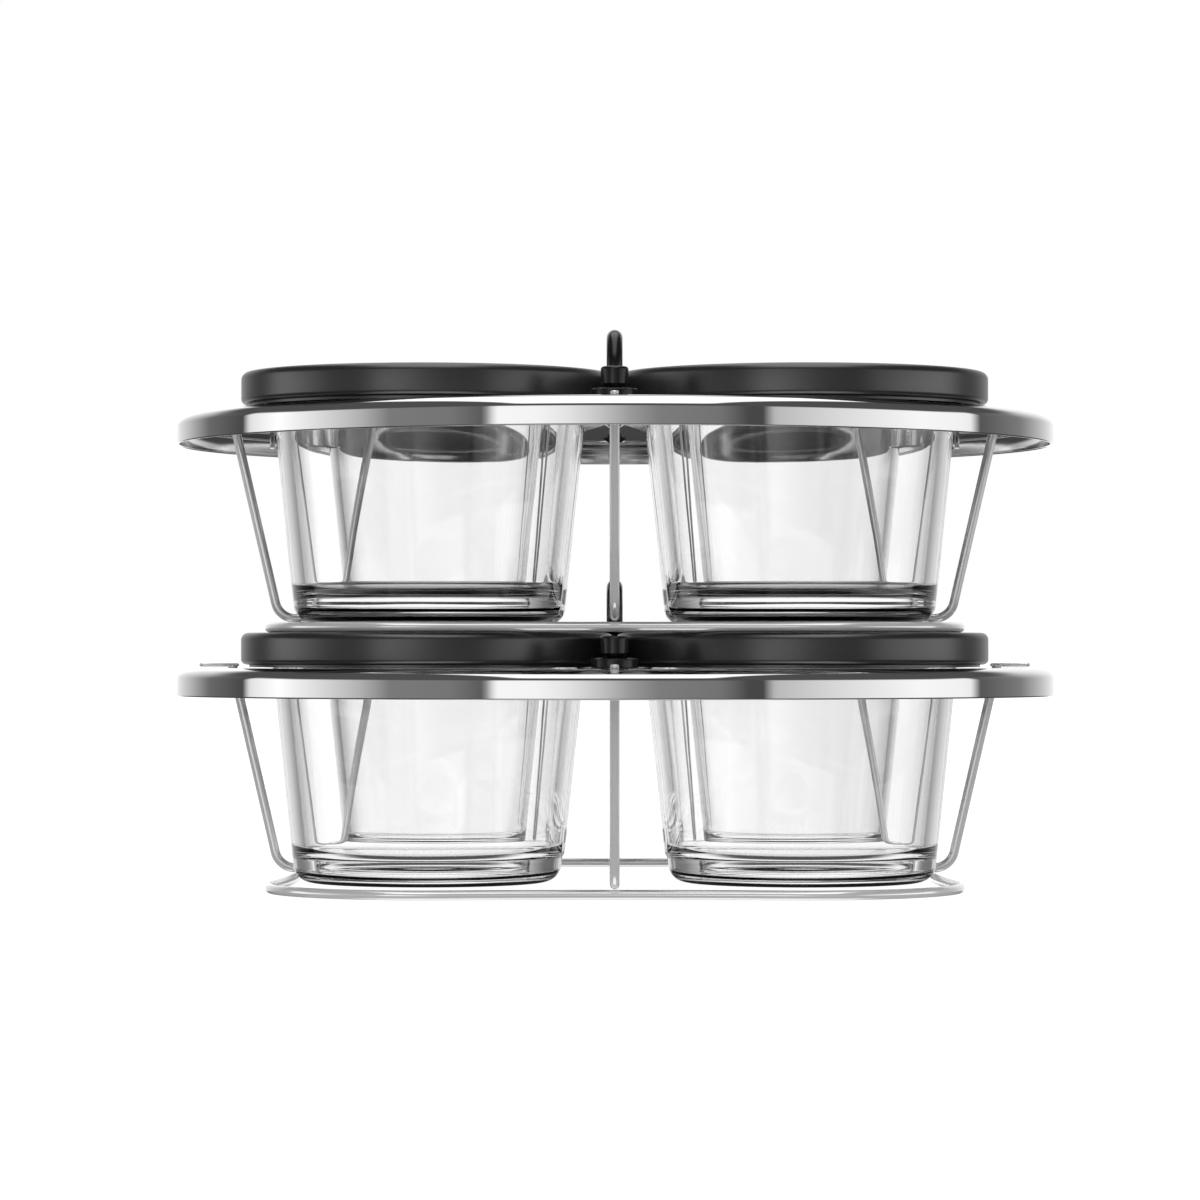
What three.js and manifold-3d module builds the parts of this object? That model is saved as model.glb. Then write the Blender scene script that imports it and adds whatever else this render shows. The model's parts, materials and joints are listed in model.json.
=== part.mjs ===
// A two-tier spice carousel. Each tier is a round steel carrier on a wire base, with four lidded glass bowls.
// Millimetres, +Z up. The origin is the centre of the lower base ring's underside.
// Heights in the dimensions below are counted from the underside of the tier's own base ring.
import * as THREE from "three";
import { mergeVertices } from "three/addons/utils/BufferGeometryUtils.js";
import Module from "manifold-3d";

const CLEARANCE = 0.3;

// Carrier plate: a flat disc with a turned-down rim.
const PLATE_RADIUS = 151.2;
const PLATE_TOP = 74.1;
const PLATE_SHEET = 1;
const RIM_BOTTOM = 64.4;
const SHOULDER_WIDTH = 5.5;
const SHOULDER_HEIGHT = 3.8;
const PLATE_SEGMENTS = 48;

// The bowls sit on a square, so each one touches two axes with its lid.
const BOWL_OFFSET = 62.1;
const BOWL_HOLE_RADIUS = 52;

// A necked spoon hole at the left and one at the right.
const SPOON_HOLE_DISTANCE = 109;
const SPOON_HOLE_RADIUS = 9.2;
const SPOON_NECK_RADIUS = 10.2;
const SPOON_NECK_BOTTOM = 63.7;

// Glass bowls.
const BOWL_BOTTOM = 3.3;
const BOWL_FOOT_RADIUS = 43.8;
const BOWL_NECK_RADIUS = 51.2;
const BOWL_WALL = 4.5;
const BOWL_FLOOR = 11.8;
const BOWL_OUTER_CORNER = 6;
const BOWL_INNER_CORNER = 5;
const BOWL_FLANGE_RADIUS = 54.8;
const BOWL_FLANGE_THICKNESS = 3.2;
const BOWL_SEGMENTS = 20;

// Lids and their seals.
const LID_RADIUS = 61.75;
const LID_TOP = 85.8;
const LID_BOTTOM = 75.3;
const LID_TOP_EDGE = 2.2;
const LID_BOTTOM_EDGE = 1.6;
const LID_CAVITY_RADIUS = 57.8;
const LID_PLUG_RADIUS = 42.4;
const LID_PLUG_BORE = 38.6;
const LID_PLUG_BOTTOM = 72.6;
const LID_CROWN = 3;
const SEAL_RADIUS = 45.5;

// Wire base: a four-lobed ring with a leg over each of its waists.
const RING_WIRE = 3.3;
const RING_LAND = 0.2;
const RING_LOBE_RADIUS = 52.3;
const RING_WAIST = 110.3;
const RING_SIDES = 6;
const RING_STEPS = 40;
const LEG_WIRE = 3.2;
const LEG_MIDDLE = 108.4;
const LEG_HALF_SPREAD_TOP = 23.7;
const LEG_HALF_SPREAD_BOTTOM = 8.6;
const LEG_HALF_FOOT = 4.2;
const LEG_SIDES = 6;
const LEG_STEPS = 18;
const TAB_START = 129.2;
const TAB_END = 143.6;
const TAB_WIDTH = 2.8;
const TAB_THICKNESS = 1.2;

// Carrying loop on the centre, with its stud, collar and cap nut.
const LOOP_ROD = 5.5;
const LOOP_TOP = 104.6;
const LOOP_HALF_WIDTH = 17;
const LOOP_SIDES = 6;
const LOOP_STEPS = 24;
const STUD_RADIUS = 2;
const COLLAR_RADIUS = 7;
const COLLAR_HEIGHT = 2;

// Cap nuts under the plate, for the loop's stud and for the knobs' studs.
const NUT_RADIUS = 4.2;
const NUT_TIP_RADIUS = 2.2;
const NUT_SHOULDER = 72.9;
const NUT_TIP = 71;
const NUT_BORE_END = 72.2;

// Turning knobs at the front and at the rear of each plate.
const KNOB_DISTANCE = 119.5;
const KNOB_FLANGE_RADIUS = 7.6;
const KNOB_FLANGE_HEIGHT = 3.2;
const KNOB_RADIUS = 4.45;
const KNOB_TOP = 84.6;
const KNOB_POST_RADIUS = 2;
const KNOB_POST_TOP = 82.7;
const SMALL_SEGMENTS = 12;

// Heights that follow from the ones above.
const PLATE_UNDERSIDE = PLATE_TOP - PLATE_SHEET;
const ON_PLATE = PLATE_TOP + CLEARANCE;
const FLANGE_TOP = ON_PLATE + BOWL_FLANGE_THICKNESS;
const LID_CEILING = FLANGE_TOP + CLEARANCE;
const RING_CENTRE = RING_WIRE / 2 - RING_LAND;
const LEG_FOOT = RING_CENTRE + RING_WIRE / 2 + CLEARANCE + LEG_WIRE / 2;
const TIER_PITCH = LID_TOP + CLEARANCE;

const FINISHES = {
  polished_steel: { color: 0xc9cbcd, roughness: 0.08, metalness: 1 },
  satin_wire: { color: 0xb9bbbd, roughness: 0.3, metalness: 1 },
  glass: { color: 0xeef3f2, roughness: 0.03, metalness: 0, transparent: true, opacity: 0.35 },
  lid_plastic: { color: 0x1b1b1c, roughness: 0.45, metalness: 0 },
  handle_plastic: { color: 0x141415, roughness: 0.35, metalness: 0 },
  seal_silicone: { color: 0xd8dad9, roughness: 0.6, metalness: 0 },
};

const SIDES = { front: -90, right: 0, rear: 90, left: 180 };
const CORNERS = {
  front_left: [-1, -1],
  front_right: [1, -1],
  rear_right: [1, 1],
  rear_left: [-1, 1],
};

const wasm = await Module();
wasm.setup();

// A closed geometry as a solid that can be joined and cut.
function solid(geometry) {
  const bare = geometry.clone();
  bare.deleteAttribute("normal");
  bare.deleteAttribute("uv");
  const merged = mergeVertices(bare, 1e-3);
  const mesh = new wasm.Mesh({
    numProp: 3,
    vertProperties: merged.attributes.position.array,
    triVerts: new Uint32Array(merged.index.array),
  });
  return new wasm.Manifold(mesh);
}

function surface(body) {
  const mesh = body.getMesh();
  const geometry = new THREE.BufferGeometry();
  geometry.setAttribute("position", new THREE.BufferAttribute(mesh.vertProperties, mesh.numProp));
  geometry.setIndex(new THREE.BufferAttribute(mesh.triVerts, 1));
  const faceted = geometry.toNonIndexed();
  faceted.computeVertexNormals();
  return faceted;
}

// A profile of [radius, height] points, counterclockwise, turned about Z.
function turned(profile, segments) {
  const outline = profile.map(([radius, height]) => new THREE.Vector2(radius, height));
  return new THREE.LatheGeometry(outline, segments).rotateX(Math.PI / 2);
}

function closedLoop(profile) {
  return [...profile, profile[0]];
}

// Points on an ellipse from one angle to another, in degrees.
function arc(centreX, centreY, radiusX, radiusY, from, to, steps) {
  const points = [];
  for (let i = 0; i <= steps; i += 1) {
    const angle = THREE.MathUtils.degToRad(from + ((to - from) * i) / steps);
    points.push([centreX + radiusX * Math.cos(angle), centreY + radiusY * Math.sin(angle)]);
  }
  return points;
}

// An upright cylinder between two heights.
function post(radius, bottom, top, segments, x = 0, y = 0) {
  const profile = [[0, bottom], [radius, bottom], [radius, top], [0, top]];
  return turned(profile, segments).translate(x, y, 0);
}

function block(lowX, highX, lowY, highY, lowZ, highZ) {
  const geometry = new THREE.BoxGeometry(highX - lowX, highY - lowY, highZ - lowZ);
  return geometry.translate((lowX + highX) / 2, (lowY + highY) / 2, (lowZ + highZ) / 2);
}

function roundSection(radius, sides) {
  const points = [];
  for (let i = 0; i < sides; i += 1) {
    const angle = (2 * Math.PI * (i + 0.5)) / sides;
    points.push(new THREE.Vector2(radius * Math.cos(angle), radius * Math.sin(angle)));
  }
  return new THREE.Shape(points);
}

function plateGeometry() {
  const shoulderX = PLATE_RADIUS - SHOULDER_WIDTH;
  const shoulderZ = PLATE_TOP - SHOULDER_HEIGHT;
  const innerWidth = SHOULDER_WIDTH - PLATE_SHEET;
  const innerHeight = SHOULDER_HEIGHT - PLATE_SHEET;
  const studHole = STUD_RADIUS + CLEARANCE;
  const disc = turned(closedLoop([
    [studHole, PLATE_UNDERSIDE],
    ...arc(shoulderX, shoulderZ, innerWidth, innerHeight, 90, 0, 2),
    [PLATE_RADIUS - PLATE_SHEET, RIM_BOTTOM],
    [PLATE_RADIUS, RIM_BOTTOM],
    ...arc(shoulderX, shoulderZ, SHOULDER_WIDTH, SHOULDER_HEIGHT, 0, 90, 3),
    [studHole, PLATE_TOP],
  ]), PLATE_SEGMENTS);
  let plate = solid(disc);
  const cutBottom = SPOON_NECK_BOTTOM - 1;
  const cutTop = PLATE_TOP + 1;
  for (const [alongX, alongY] of Object.values(CORNERS)) {
    const opening = post(BOWL_HOLE_RADIUS, cutBottom, cutTop, BOWL_SEGMENTS);
    plate = plate.subtract(solid(opening.translate(alongX * BOWL_OFFSET, alongY * BOWL_OFFSET, 0)));
  }
  for (const side of [-1, 1]) {
    const across = side * SPOON_HOLE_DISTANCE;
    const neck = post(SPOON_NECK_RADIUS, SPOON_NECK_BOTTOM, PLATE_TOP, SMALL_SEGMENTS, across);
    const bore = post(SPOON_HOLE_RADIUS, cutBottom, cutTop, SMALL_SEGMENTS, across);
    const boltHole = post(studHole, PLATE_UNDERSIDE - 1, cutTop, SMALL_SEGMENTS);
    plate = plate.add(solid(neck)).subtract(solid(bore));
    plate = plate.subtract(solid(boltHole.translate(0, side * KNOB_DISTANCE, 0)));
  }
  const wireHole = LEG_WIRE / 2 + 2 * CLEARANCE;
  for (const degrees of Object.values(SIDES)) {
    const slot = post(wireHole, PLATE_UNDERSIDE - 1, cutTop, 8, LEG_MIDDLE + LEG_HALF_SPREAD_TOP);
    plate = plate.subtract(solid(slot.rotateZ(THREE.MathUtils.degToRad(degrees))));
  }
  return surface(plate);
}

// One closed round of the base ring: four lobes joined by shallow waists, each tangent to its lobes.
function ringOutline() {
  const lead = RING_WAIST - BOWL_OFFSET;
  const waistRadius = (lead ** 2 + BOWL_OFFSET ** 2 - RING_LOBE_RADIUS ** 2)
    / (2 * (RING_LOBE_RADIUS - lead));
  const waistCentre = RING_WAIST + waistRadius;
  const tilt = THREE.MathUtils.radToDeg(Math.atan2(BOWL_OFFSET, waistCentre - BOWL_OFFSET));
  const quarter = [
    ...arc(waistCentre, 0, waistRadius, waistRadius, 180, 180 - tilt, 4).slice(0, -1),
    ...arc(BOWL_OFFSET, BOWL_OFFSET, RING_LOBE_RADIUS, RING_LOBE_RADIUS, -tilt, 90 + tilt, 12),
    ...arc(0, waistCentre, waistRadius, waistRadius, tilt - 90, -90, 4).slice(1, -1),
  ];
  const points = [];
  for (let i = 0; i < 4; i += 1) {
    const turn = new THREE.Matrix4().makeRotationZ((i * Math.PI) / 2);
    for (const [x, y] of quarter) {
      points.push(new THREE.Vector3(x, y, RING_CENTRE).applyMatrix4(turn));
    }
  }
  return new THREE.CatmullRomCurve3(points, true, "centripetal");
}

function ringGeometry() {
  const wire = new THREE.TubeGeometry(ringOutline(), RING_STEPS, RING_WIRE / 2, RING_SIDES, true);
  const reach = PLATE_RADIUS;
  const above = block(-reach, reach, -reach, reach, 0, RING_WIRE);
  return surface(solid(wire).intersect(solid(above)));
}

// A leg lying in the XZ plane: outer arm down, across the ring, inner arm up.
function legGeometry() {
  const slope = (LEG_HALF_SPREAD_TOP - LEG_HALF_SPREAD_BOTTOM) / (PLATE_TOP - LEG_FOOT - LEG_HALF_FOOT);
  const spreadAt = (height) => LEG_HALF_SPREAD_TOP - slope * (PLATE_TOP - height);
  const arm = [LEG_FOOT + LEG_HALF_FOOT, LEG_FOOT + 3 * LEG_HALF_FOOT, PLATE_TOP / 2, PLATE_TOP - 12];
  const outer = arm.map((height) => [LEG_MIDDLE + spreadAt(height), height]);
  const inner = arm.map((height) => [LEG_MIDDLE - spreadAt(height), height]);
  const tabMiddle = ON_PLATE + TAB_THICKNESS / 2;
  const innerTop = PLATE_UNDERSIDE - CLEARANCE;
  const route = [
    [LEG_MIDDLE + spreadAt(tabMiddle), tabMiddle],
    ...outer.reverse(),
    [LEG_MIDDLE + LEG_HALF_FOOT + 2.6, LEG_FOOT + 0.6],
    [LEG_MIDDLE + LEG_HALF_FOOT - 1, LEG_FOOT],
    [LEG_MIDDLE - LEG_HALF_FOOT + 1, LEG_FOOT],
    [LEG_MIDDLE - LEG_HALF_FOOT - 2.6, LEG_FOOT + 0.6],
    ...inner,
    [LEG_MIDDLE - spreadAt(innerTop), innerTop],
  ];
  const curve = new THREE.CatmullRomCurve3(
    route.map(([x, z]) => new THREE.Vector3(x, 0, z)), false, "centripetal",
  );
  const wire = new THREE.ExtrudeGeometry(roundSection(LEG_WIRE / 2, LEG_SIDES), {
    steps: LEG_STEPS,
    bevelEnabled: false,
    extrudePath: curve,
  });
  const tab = block(TAB_START, TAB_END, -TAB_WIDTH / 2, TAB_WIDTH / 2, ON_PLATE, ON_PLATE + TAB_THICKNESS);
  const below = block(0, PLATE_RADIUS, -TAB_WIDTH, TAB_WIDTH, 0, ON_PLATE + TAB_THICKNESS / 2);
  return surface(solid(wire).intersect(solid(below)).add(solid(tab)));
}

function bowlGeometry() {
  const wallAt = (height) => BOWL_FOOT_RADIUS
    + ((BOWL_NECK_RADIUS - BOWL_FOOT_RADIUS) * (height - BOWL_BOTTOM)) / (PLATE_TOP - BOWL_BOTTOM);
  const outerCorner = BOWL_BOTTOM + BOWL_OUTER_CORNER;
  const footEdge = wallAt(outerCorner) - BOWL_OUTER_CORNER;
  const innerCorner = BOWL_FLOOR + BOWL_INNER_CORNER;
  const floorEdge = wallAt(innerCorner) - BOWL_WALL - BOWL_INNER_CORNER;
  return turned([
    [0, BOWL_BOTTOM],
    ...arc(footEdge, outerCorner, BOWL_OUTER_CORNER, BOWL_OUTER_CORNER, -90, 0, 2),
    [BOWL_NECK_RADIUS, PLATE_TOP],
    [BOWL_NECK_RADIUS, ON_PLATE],
    [BOWL_FLANGE_RADIUS, ON_PLATE],
    [BOWL_FLANGE_RADIUS, FLANGE_TOP],
    [wallAt(FLANGE_TOP) - BOWL_WALL, FLANGE_TOP],
    ...arc(floorEdge, innerCorner, BOWL_INNER_CORNER, BOWL_INNER_CORNER, 0, -90, 2),
    [0, BOWL_FLOOR],
  ], BOWL_SEGMENTS);
}

function lidGeometry() {
  const rounded = (edge, height) => [LID_RADIUS - edge, height, edge, edge];
  return turned([
    [0, LID_TOP - LID_CROWN],
    [LID_PLUG_BORE, LID_TOP - LID_CROWN],
    [LID_PLUG_BORE, LID_PLUG_BOTTOM],
    [LID_PLUG_RADIUS, LID_PLUG_BOTTOM],
    [LID_PLUG_RADIUS, LID_CEILING],
    [LID_CAVITY_RADIUS, LID_CEILING],
    [LID_CAVITY_RADIUS, LID_BOTTOM],
    ...arc(...rounded(LID_BOTTOM_EDGE, LID_BOTTOM + LID_BOTTOM_EDGE), -90, 0, 1),
    ...arc(...rounded(LID_TOP_EDGE, LID_TOP - LID_TOP_EDGE), 0, 90, 1),
    [0, LID_TOP],
  ], BOWL_SEGMENTS);
}

function sealGeometry() {
  const innerRadius = LID_PLUG_RADIUS + 2 * CLEARANCE;
  const bottom = LID_PLUG_BOTTOM + 1;
  const top = LID_CEILING - CLEARANCE;
  return turned(closedLoop([
    [innerRadius, bottom],
    [SEAL_RADIUS - 0.8, bottom],
    [SEAL_RADIUS, (bottom + top) / 2],
    [SEAL_RADIUS - 0.8, top],
    [innerRadius, top],
  ]), BOWL_SEGMENTS);
}

// The loop stands in the YZ plane, with its stud running down through collar and plate.
function loopGeometry() {
  const highest = LOOP_TOP - LOOP_ROD / 2;
  const lowest = ON_PLATE + COLLAR_HEIGHT + CLEARANCE + LOOP_ROD / 2;
  const bend = (highest - lowest) / 2;
  const middle = (highest + lowest) / 2;
  const straight = LOOP_HALF_WIDTH - bend;
  const oval = [
    ...arc(straight, middle, bend, bend, -90, 90, 8),
    ...arc(-straight, middle, bend, bend, 90, 270, 8),
  ];
  const curve = new THREE.CatmullRomCurve3(
    oval.map(([y, z]) => new THREE.Vector3(0, y, z)), true, "centripetal",
  );
  const rod = new THREE.TubeGeometry(curve, LOOP_STEPS, LOOP_ROD / 2, LOOP_SIDES, true);
  const stud = post(STUD_RADIUS, NUT_BORE_END + CLEARANCE, lowest, SMALL_SEGMENTS);
  return surface(solid(rod).add(solid(stud)));
}

function collarGeometry() {
  const bore = STUD_RADIUS + CLEARANCE;
  const top = ON_PLATE + COLLAR_HEIGHT;
  return turned(closedLoop([
    [bore, ON_PLATE],
    [COLLAR_RADIUS, ON_PLATE],
    [COLLAR_RADIUS, top - 0.8],
    [COLLAR_RADIUS - 1.2, top],
    [bore, top],
  ]), SMALL_SEGMENTS);
}

function nutGeometry() {
  const top = PLATE_UNDERSIDE - CLEARANCE;
  const bore = STUD_RADIUS + CLEARANCE;
  return turned([
    [0, NUT_TIP],
    [NUT_TIP_RADIUS, NUT_TIP],
    [NUT_RADIUS, NUT_SHOULDER],
    [NUT_RADIUS, top],
    [bore, top],
    [bore, NUT_BORE_END],
    [0, NUT_BORE_END],
  ], SMALL_SEGMENTS);
}

// The flange under a knob, with the post that the knob turns on and the stud that reaches into the nut.
function knobBaseGeometry() {
  const top = ON_PLATE + KNOB_FLANGE_HEIGHT;
  const studEnd = NUT_BORE_END + CLEARANCE;
  return turned([
    [0, studEnd],
    [STUD_RADIUS, studEnd],
    [STUD_RADIUS, ON_PLATE],
    [KNOB_FLANGE_RADIUS, ON_PLATE],
    [KNOB_FLANGE_RADIUS, top - 0.7],
    [KNOB_FLANGE_RADIUS - 1.4, top],
    [KNOB_POST_RADIUS, top],
    [KNOB_POST_RADIUS, KNOB_POST_TOP],
    [0, KNOB_POST_TOP],
  ], SMALL_SEGMENTS);
}

function knobGeometry() {
  const bottom = ON_PLATE + KNOB_FLANGE_HEIGHT + CLEARANCE;
  const bore = KNOB_POST_RADIUS + CLEARANCE;
  const boreTop = KNOB_POST_TOP + CLEARANCE;
  return turned([
    [0, boreTop],
    [bore, boreTop],
    [bore, bottom],
    [KNOB_RADIUS, bottom],
    [KNOB_RADIUS, KNOB_TOP - 0.9],
    [KNOB_RADIUS - 0.9, KNOB_TOP],
    [0, KNOB_TOP],
  ], SMALL_SEGMENTS);
}

function piece(name, geometry, finish) {
  const mesh = new THREE.Mesh(geometry, new THREE.MeshStandardMaterial(FINISHES[finish]));
  mesh.name = name;
  return mesh;
}

function wireBase(tier) {
  const base = new THREE.Group();
  base.add(piece(`${tier}_base_ring`, ringGeometry(), "satin_wire"));
  for (const [side, degrees] of Object.entries(SIDES)) {
    const leg = piece(`${tier}_leg_${side}`, legGeometry(), "satin_wire");
    leg.rotation.z = THREE.MathUtils.degToRad(degrees);
    base.add(leg);
  }
  return base;
}

function carryingLoop(tier) {
  const handle = new THREE.Group();
  handle.add(piece(`${tier}_handle_loop`, loopGeometry(), "handle_plastic"));
  handle.add(piece(`${tier}_handle_collar`, collarGeometry(), "handle_plastic"));
  handle.add(piece(`${tier}_handle_nut`, nutGeometry(), "polished_steel"));
  return handle;
}

function knobFitting(tier, place, distance) {
  const fitting = new THREE.Group();
  fitting.add(piece(`${tier}_${place}_knob_base`, knobBaseGeometry(), "handle_plastic"));
  fitting.add(piece(`${tier}_${place}_knob_nut`, nutGeometry(), "handle_plastic"));
  fitting.add(piece(`${tier}_${place}_knob`, knobGeometry(), "handle_plastic"));
  fitting.position.y = distance;
  return fitting;
}

function liddedBowl(tier, corner, alongX, alongY) {
  const set = new THREE.Group();
  set.add(piece(`${tier}_bowl_${corner}`, bowlGeometry(), "glass"));
  set.add(piece(`${tier}_lid_${corner}`, lidGeometry(), "lid_plastic"));
  set.add(piece(`${tier}_seal_${corner}`, sealGeometry(), "seal_silicone"));
  set.position.set(alongX * BOWL_OFFSET, alongY * BOWL_OFFSET, 0);
  return set;
}

function carouselTier(tier) {
  const group = new THREE.Group();
  group.add(piece(`${tier}_plate`, plateGeometry(), "polished_steel"));
  group.add(wireBase(tier), carryingLoop(tier));
  group.add(knobFitting(tier, "front", -KNOB_DISTANCE), knobFitting(tier, "rear", KNOB_DISTANCE));
  for (const [corner, [alongX, alongY]] of Object.entries(CORNERS)) {
    group.add(liddedBowl(tier, corner, alongX, alongY));
  }
  return group;
}

const carousel = new THREE.Group();
const lower = carouselTier("lower");
const upper = carouselTier("upper");
upper.position.z = TIER_PITCH;
carousel.add(lower, upper);

export default carousel;
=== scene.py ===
"""Looks of the two-tier spice carousel, built round its CAD frame. Metres, +Z up, front towards -Y."""
import json
import math

import bmesh
import bpy
from mathutils import Matrix, Vector


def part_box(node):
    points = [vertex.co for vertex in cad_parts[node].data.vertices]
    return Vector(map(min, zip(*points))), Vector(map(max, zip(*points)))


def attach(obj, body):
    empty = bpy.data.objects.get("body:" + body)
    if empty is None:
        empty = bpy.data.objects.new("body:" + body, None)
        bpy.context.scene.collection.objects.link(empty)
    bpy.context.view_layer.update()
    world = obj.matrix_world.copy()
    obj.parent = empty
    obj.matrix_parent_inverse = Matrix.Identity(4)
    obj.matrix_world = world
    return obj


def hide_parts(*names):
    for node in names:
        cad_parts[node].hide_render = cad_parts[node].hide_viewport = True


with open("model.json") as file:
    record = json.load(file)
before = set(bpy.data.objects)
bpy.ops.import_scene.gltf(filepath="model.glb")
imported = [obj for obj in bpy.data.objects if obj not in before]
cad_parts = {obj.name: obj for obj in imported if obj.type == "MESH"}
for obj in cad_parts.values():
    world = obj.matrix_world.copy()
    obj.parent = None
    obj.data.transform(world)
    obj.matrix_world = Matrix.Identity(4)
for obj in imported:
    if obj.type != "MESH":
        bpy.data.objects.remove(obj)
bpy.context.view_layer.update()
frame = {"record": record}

MM = 0.001
TIERS = ("lower", "upper")
SIDES = {"front": -90, "right": 0, "rear": 90, "left": 180}
CORNERS = {
    "front_left": (-1, -1),
    "front_right": (1, -1),
    "rear_right": (1, 1),
    "rear_left": (-1, 1),
}

# Places read from the frame.
PLATE_LOW, PLATE_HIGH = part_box("lower_plate")
RING_LOW, RING_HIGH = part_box("lower_base_ring")
BOWL_LOW, BOWL_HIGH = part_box("lower_bowl_rear_right")
LID_LOW, LID_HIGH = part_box("lower_lid_rear_right")
SEAL_LOW, SEAL_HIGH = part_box("lower_seal_rear_right")
LEG_LOW, LEG_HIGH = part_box("lower_leg_right")
LOOP_LOW, LOOP_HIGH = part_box("lower_handle_loop")
COLLAR_LOW, COLLAR_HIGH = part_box("lower_handle_collar")
NUT_LOW, NUT_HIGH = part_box("lower_handle_nut")
BASE_LOW, BASE_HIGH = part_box("lower_rear_knob_base")
KNOB_LOW, KNOB_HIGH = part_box("lower_rear_knob")
TIER_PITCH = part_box("upper_base_ring")[0].z - RING_LOW.z

PLATE_RADIUS = PLATE_HIGH.x
PLATE_TOP = PLATE_HIGH.z
BOWL_CENTRE = (BOWL_LOW.x + BOWL_HIGH.x) / 2
KNOB_DISTANCE = (KNOB_LOW.y + KNOB_HIGH.y) / 2
STUD_HOLE = 2.3 * MM
SHEET = 1.0 * MM
RIM_HEIGHT = 9.7 * MM
SHOULDER_WIDTH = 5.5 * MM
SHOULDER_HEIGHT = 3.8 * MM
SPOON_HOLE_DISTANCE = 109 * MM
SPOON_HOLE_RADIUS = 9.2 * MM
BOWL_HOLE_RADIUS = 51.9 * MM
LEG_MIDDLE = 108.4 * MM
LEG_TOP_SPREAD = 23.7 * MM
LEG_BOTTOM_SPREAD = 8.6 * MM
LEG_KNEE = 4.2 * MM


def arc(centre_x, centre_z, radius_x, radius_z, start, end, steps):
    """Points on an ellipse between two angles in degrees."""
    points = []
    for i in range(steps + 1):
        angle = math.radians(start + (end - start) * i / steps)
        points.append((centre_x + radius_x * math.cos(angle), centre_z + radius_z * math.sin(angle)))
    return points


def without_repeats(profile):
    """Drops each point that lies on the one before it."""
    return [p for i, p in enumerate(profile) if i == 0 or math.dist(p, profile[i - 1]) > 1e-6]


def linked_object(name, data):
    piece = bpy.data.objects.new(name, data)
    bpy.context.scene.collection.objects.link(piece)
    return piece


def shade_smooth(mesh, sharp_degrees):
    for polygon in mesh.polygons:
        polygon.use_smooth = True
    mesh.set_sharp_from_angle(angle=math.radians(sharp_degrees))


def lathe_mesh(name, profile, segments, centre=(0, 0, 0)):
    """A closed solid turned about Z from (radius, height) points in counterclockwise order.

    The profile either starts and ends on the axis or is a closed loop beside it.
    """
    on_axis = profile[0][0] == 0
    mesh = bpy.data.meshes.new(name)
    build = bmesh.new()
    rings = []
    for radius, height in profile:
        if radius == 0:
            rings.append([build.verts.new((centre[0], centre[1], centre[2] + height))])
            continue
        ring = []
        for i in range(segments):
            angle = 2 * math.pi * i / segments
            ring.append(build.verts.new((
                centre[0] + radius * math.cos(angle),
                centre[1] + radius * math.sin(angle),
                centre[2] + height,
            )))
        rings.append(ring)
    pairs = list(zip(rings, rings[1:]))
    if not on_axis:
        pairs.append((rings[-1], rings[0]))
    for below, above in pairs:
        for i in range(segments):
            j = (i + 1) % segments
            if len(below) == 1:
                build.faces.new((below[0], above[j], above[i]))
            elif len(above) == 1:
                build.faces.new((below[i], below[j], above[0]))
            else:
                build.faces.new((below[i], below[j], above[j], above[i]))
    build.to_mesh(mesh)
    build.free()
    return mesh


def tube_mesh(name, path, radius, sides, closed=False, turn=0.0):
    """A round wire along a list of points, with domed ends unless it is closed."""
    mesh = bpy.data.meshes.new(name)
    build = bmesh.new()
    count = len(path)
    tangents = []
    for i in range(count):
        ahead = path[(i + 1) % count] if closed else path[min(i + 1, count - 1)]
        behind = path[i - 1] if closed else path[max(i - 1, 0)]
        tangents.append((ahead - behind).normalized())
    normal = tangents[0].orthogonal().normalized()
    if abs(tangents[0].z) < 0.9:
        normal = (Vector((0, 0, 1)) - tangents[0] * tangents[0].z).normalized()
    rings = []

    def add_ring(centre, tangent, side, reach):
        across = tangent.cross(side)
        ring = []
        for k in range(sides):
            angle = turn + 2 * math.pi * k / sides
            spoke = side * math.cos(angle) + across * math.sin(angle)
            ring.append(build.verts.new(centre + reach * spoke))
        rings.append(ring)

    dome = [(math.sin(math.radians(a)), math.cos(math.radians(a))) for a in (15, 35, 55, 75)]
    normals = []
    for i in range(count):
        normal = (normal - tangents[i] * normal.dot(tangents[i])).normalized()
        normals.append(normal.copy())
    if not closed:
        for reach, back in dome:
            before = path[0] - tangents[0] * radius * back * 0.5
            add_ring(before, tangents[0], normals[0], radius * reach)
    for i in range(count):
        add_ring(path[i], tangents[i], normals[i], radius)
    if not closed:
        for reach, forward in reversed(dome):
            beyond = path[-1] + tangents[-1] * radius * forward * 0.5
            add_ring(beyond, tangents[-1], normals[-1], radius * reach)
    pairs = list(zip(rings, rings[1:]))
    if closed:
        pairs.append((rings[-1], rings[0]))
    for first, second in pairs:
        for k in range(sides):
            m = (k + 1) % sides
            build.faces.new((first[k], first[m], second[m], second[k]))
    if not closed:
        build.faces.new(list(reversed(rings[0])))
        build.faces.new(rings[-1])
    bmesh.ops.recalc_face_normals(build, faces=build.faces)
    build.to_mesh(mesh)
    build.free()
    return mesh


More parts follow.
